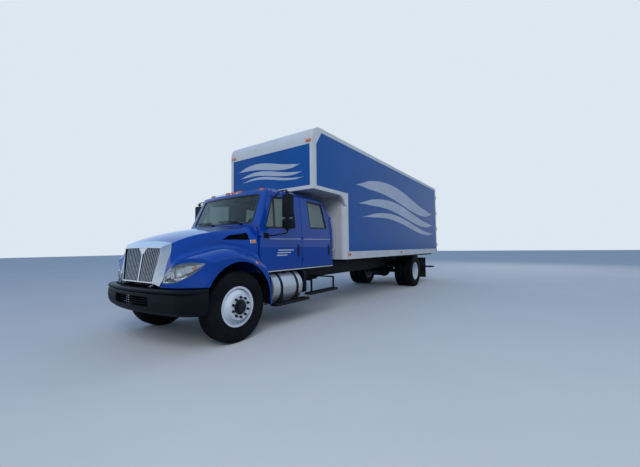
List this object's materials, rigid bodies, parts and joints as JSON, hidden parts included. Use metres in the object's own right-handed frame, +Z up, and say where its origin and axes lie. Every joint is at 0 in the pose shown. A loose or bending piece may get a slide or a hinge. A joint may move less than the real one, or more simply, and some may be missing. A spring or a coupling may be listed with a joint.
{
  "type": "box truck",
  "caption": "Conventional crew-cab box truck with a moving-van body, an attic over the cab, twin rear wheels, a tilting hood and swing doors.",
  "frame": {"origin": "on the ground, midway between the front of the bumper and the back of the rear step, on the centre line", "axes": "+Y to the rear of the truck, +X to the driver's side, +Z up"},
  "size_m": [2.764, 11.6678, 3.816],
  "materials": {
    "blue_paint": "gloss",
    "blue_panel": "satin",
    "pale_trim": "satin",
    "white_steel": "satin",
    "black_steel": "satin",
    "black_plastic": "matte",
    "interior_plastic": "matte",
    "seat_fabric": "matte",
    "chrome_trim": "mirror",
    "tank_metal": "brushed",
    "roof_metal": "satin",
    "tyre_rubber": "matte",
    "flap_rubber": "matte",
    "tinted_glass": "clear",
    "lamp_glass": "clear",
    "amber_lens": "gloss",
    "floor_wood": "satin",
    "engine_iron": "matte"
  },
  "bodies": {
    "chassis": {"frame_rails": "black_steel", "front_axle": "black_steel", "rear_axle": "black_steel", "leaf_springs": "black_steel", "engine": "engine_iron", "drive_shaft": "black_steel", "exhaust": "black_steel", "fuel_tank": "tank_metal", "side_steps": "black_steel", "front_bumper": "black_plastic", "cab_floor": "blue_paint", "cab_frame": "blue_paint", "cab_roof": "blue_paint", "cab_glass": "tinted_glass", "dashboard": "interior_plastic", "seats": "seat_fabric", "cargo_floor": "floor_wood", "cargo_wall_left": "blue_panel", "cargo_wall_right": "blue_panel", "cargo_bulkhead": "blue_panel", "attic_panel": "blue_panel", "attic_floor": "black_steel", "cargo_roof": "roof_metal", "cargo_frame": "pale_trim", "mud_flaps": "flap_rubber", "marker_lamps": "amber_lens"},
    "hood_assembly": {"hood": "blue_paint", "headlamps": "lamp_glass", "grille": "chrome_trim"},
    "steering_wheel_body": {"steering_wheel": "black_plastic"},
    "left_knuckle": {"knuckle_left": "black_steel"},
    "right_knuckle": {"knuckle_right": "black_steel"},
    "left_front_wheel": {"front_rim_left": "white_steel", "front_tyre_left": "tyre_rubber"},
    "right_front_wheel": {"front_rim_right": "white_steel", "front_tyre_right": "tyre_rubber"},
    "left_rear_wheels": {"rear_rims_left": "white_steel", "rear_tyres_left": "tyre_rubber"},
    "right_rear_wheels": {"rear_rims_right": "white_steel", "rear_tyres_right": "tyre_rubber"},
    "left_front_door": {"door_front_left": "blue_paint", "glass_front_left": "tinted_glass", "mirror_left": "black_plastic"},
    "right_front_door": {"door_front_right": "blue_paint", "glass_front_right": "tinted_glass", "mirror_right": "black_plastic"},
    "left_rear_door": {"door_rear_left": "blue_paint", "glass_rear_left": "tinted_glass"},
    "right_rear_door": {"door_rear_right": "blue_paint", "glass_rear_right": "tinted_glass"},
    "left_cargo_door": {"cargo_door_left": "white_steel"},
    "right_cargo_door": {"cargo_door_right": "white_steel"}
  },
  "joints": [
    {"name": "steer_left", "type": "hinge", "parent": "chassis", "child": "left_knuckle", "pos_m": [0.79, -4.805, 0.525], "axis": [0, 0, 1], "range_deg": [-35, 35]},
    {"name": "steer_right", "type": "hinge", "parent": "chassis", "child": "right_knuckle", "pos_m": [-0.79, -4.805, 0.525], "axis": [0, 0, 1], "range_deg": [-35, 35]},
    {"name": "steering_wheel_turn", "type": "hinge", "parent": "chassis", "child": "steering_wheel_body", "pos_m": [0.43, -3.725, 1.64], "axis": [0, 0.8192, 0.5736], "range_deg": [-570, 570]},
    {"name": "spin_front_left", "type": "hinge", "parent": "left_knuckle", "child": "left_front_wheel", "pos_m": [1.002, -4.805, 0.525], "axis": [1, 0, 0], "continuous": true},
    {"name": "spin_front_right", "type": "hinge", "parent": "right_knuckle", "child": "right_front_wheel", "pos_m": [-1.002, -4.805, 0.525], "axis": [1, 0, 0], "continuous": true},
    {"name": "spin_rear_left", "type": "hinge", "parent": "chassis", "child": "left_rear_wheels", "pos_m": [0.899, 3.03, 0.525], "axis": [1, 0, 0], "continuous": true},
    {"name": "spin_rear_right", "type": "hinge", "parent": "chassis", "child": "right_rear_wheels", "pos_m": [-0.899, 3.03, 0.525], "axis": [1, 0, 0], "continuous": true},
    {"name": "open_front_left", "type": "hinge", "parent": "chassis", "child": "left_front_door", "pos_m": [0.978, -4.209, 1.355], "axis": [0, 0, 1], "range_deg": [-70, 0]},
    {"name": "open_front_right", "type": "hinge", "parent": "chassis", "child": "right_front_door", "pos_m": [-0.978, -4.209, 1.355], "axis": [0, 0, 1], "range_deg": [0, 70]},
    {"name": "open_rear_left", "type": "hinge", "parent": "chassis", "child": "left_rear_door", "pos_m": [0.978, -3.084, 1.355], "axis": [0, 0, 1], "range_deg": [-70, 0]},
    {"name": "open_rear_right", "type": "hinge", "parent": "chassis", "child": "right_rear_door", "pos_m": [-0.978, -3.084, 1.355], "axis": [0, 0, 1], "range_deg": [0, 70]},
    {"name": "tilt_hood", "type": "hinge", "parent": "chassis", "child": "hood_assembly", "pos_m": [0, -5.74, 0.87], "axis": [1, 0, 0], "range_deg": [0, 70]},
    {"name": "open_cargo_left", "type": "hinge", "parent": "chassis", "child": "left_cargo_door", "pos_m": [1.233, 5.771, 2.4], "axis": [0, 0, 1], "range_deg": [-270, 0]},
    {"name": "open_cargo_right", "type": "hinge", "parent": "chassis", "child": "right_cargo_door", "pos_m": [-1.233, 5.771, 2.4], "axis": [0, 0, 1], "range_deg": [0, 270]}
  ],
  "couplings": [
    {"joint": "steer_right", "follows": "steer_left", "ratio": 1},
    {"joint": "steering_wheel_turn", "follows": "steer_left", "ratio": 16}
  ]
}
